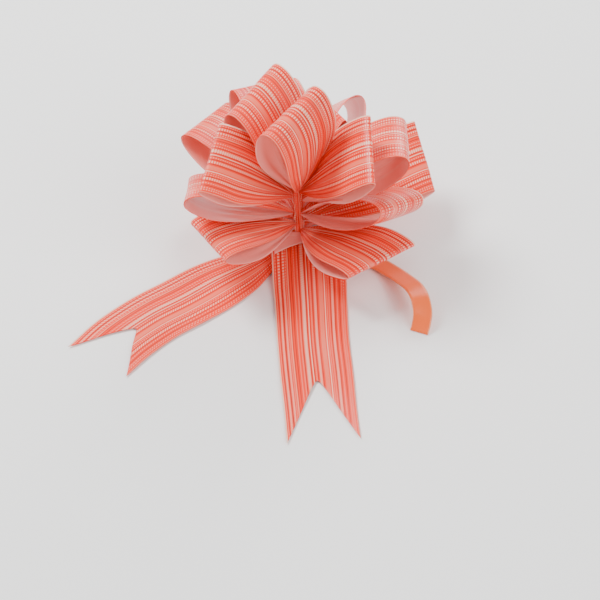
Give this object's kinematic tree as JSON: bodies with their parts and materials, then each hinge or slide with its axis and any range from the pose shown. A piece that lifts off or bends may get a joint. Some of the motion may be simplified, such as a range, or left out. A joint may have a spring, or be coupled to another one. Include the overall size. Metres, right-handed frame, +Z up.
{
  "type": "gift bow",
  "caption": "Pre-made pull bow of wide printed ribbon: loops pinched on a central column, two swallow-tailed ends and a narrow tie ribbon, flat base.",
  "frame": {"origin": "on the resting surface, under the column of necks", "axes": "+Z up, +X to the right of the tails seen from in front, the front tail runs along -Y"},
  "size_m": [0.2365, 0.2769, 0.1317],
  "materials": {
    "printed_ribbon": "sheer printed satin, pale pink on its reverse",
    "pull_ribbon": "plain satin"
  },
  "bodies": {
    "rosette": {"loop_crown": "printed_ribbon", "loop_left_high": "printed_ribbon", "loop_left_front": "printed_ribbon", "loop_left_wide": "printed_ribbon", "loop_left_low": "printed_ribbon", "loop_back_high": "printed_ribbon", "loop_back_left": "printed_ribbon", "loop_right_high": "printed_ribbon", "loop_right_wide": "printed_ribbon", "loop_right_far": "printed_ribbon", "loop_right_front": "printed_ribbon", "loop_right_low": "printed_ribbon", "loop_back_crown": "printed_ribbon", "loop_back_right": "printed_ribbon", "loop_back_low_right": "printed_ribbon", "loop_back_low_left": "printed_ribbon", "tail_fold": "printed_ribbon", "pull_ribbon_column": "pull_ribbon", "pull_ribbon_knot": "pull_ribbon"},
    "front_tail": {"tail_front": "printed_ribbon"},
    "left_tail": {"tail_left": "printed_ribbon"},
    "tie_ribbon": {"pull_ribbon_end": "pull_ribbon"}
  },
  "joints": [
    {"name": "front_tail_swing", "type": "hinge", "parent": "rosette", "child": "front_tail", "pos_m": [0, 0, 0], "axis": [0, 0, 1], "range_deg": [-6, 6]},
    {"name": "left_tail_swing", "type": "hinge", "parent": "rosette", "child": "left_tail", "pos_m": [0, 0, 0], "axis": [0, 0, 1], "range_deg": [-14, 8]},
    {"name": "tie_ribbon_swing", "type": "hinge", "parent": "rosette", "child": "tie_ribbon", "pos_m": [0, 0, 0], "axis": [0, 0, 1], "range_deg": [-7, 10]}
  ]
}
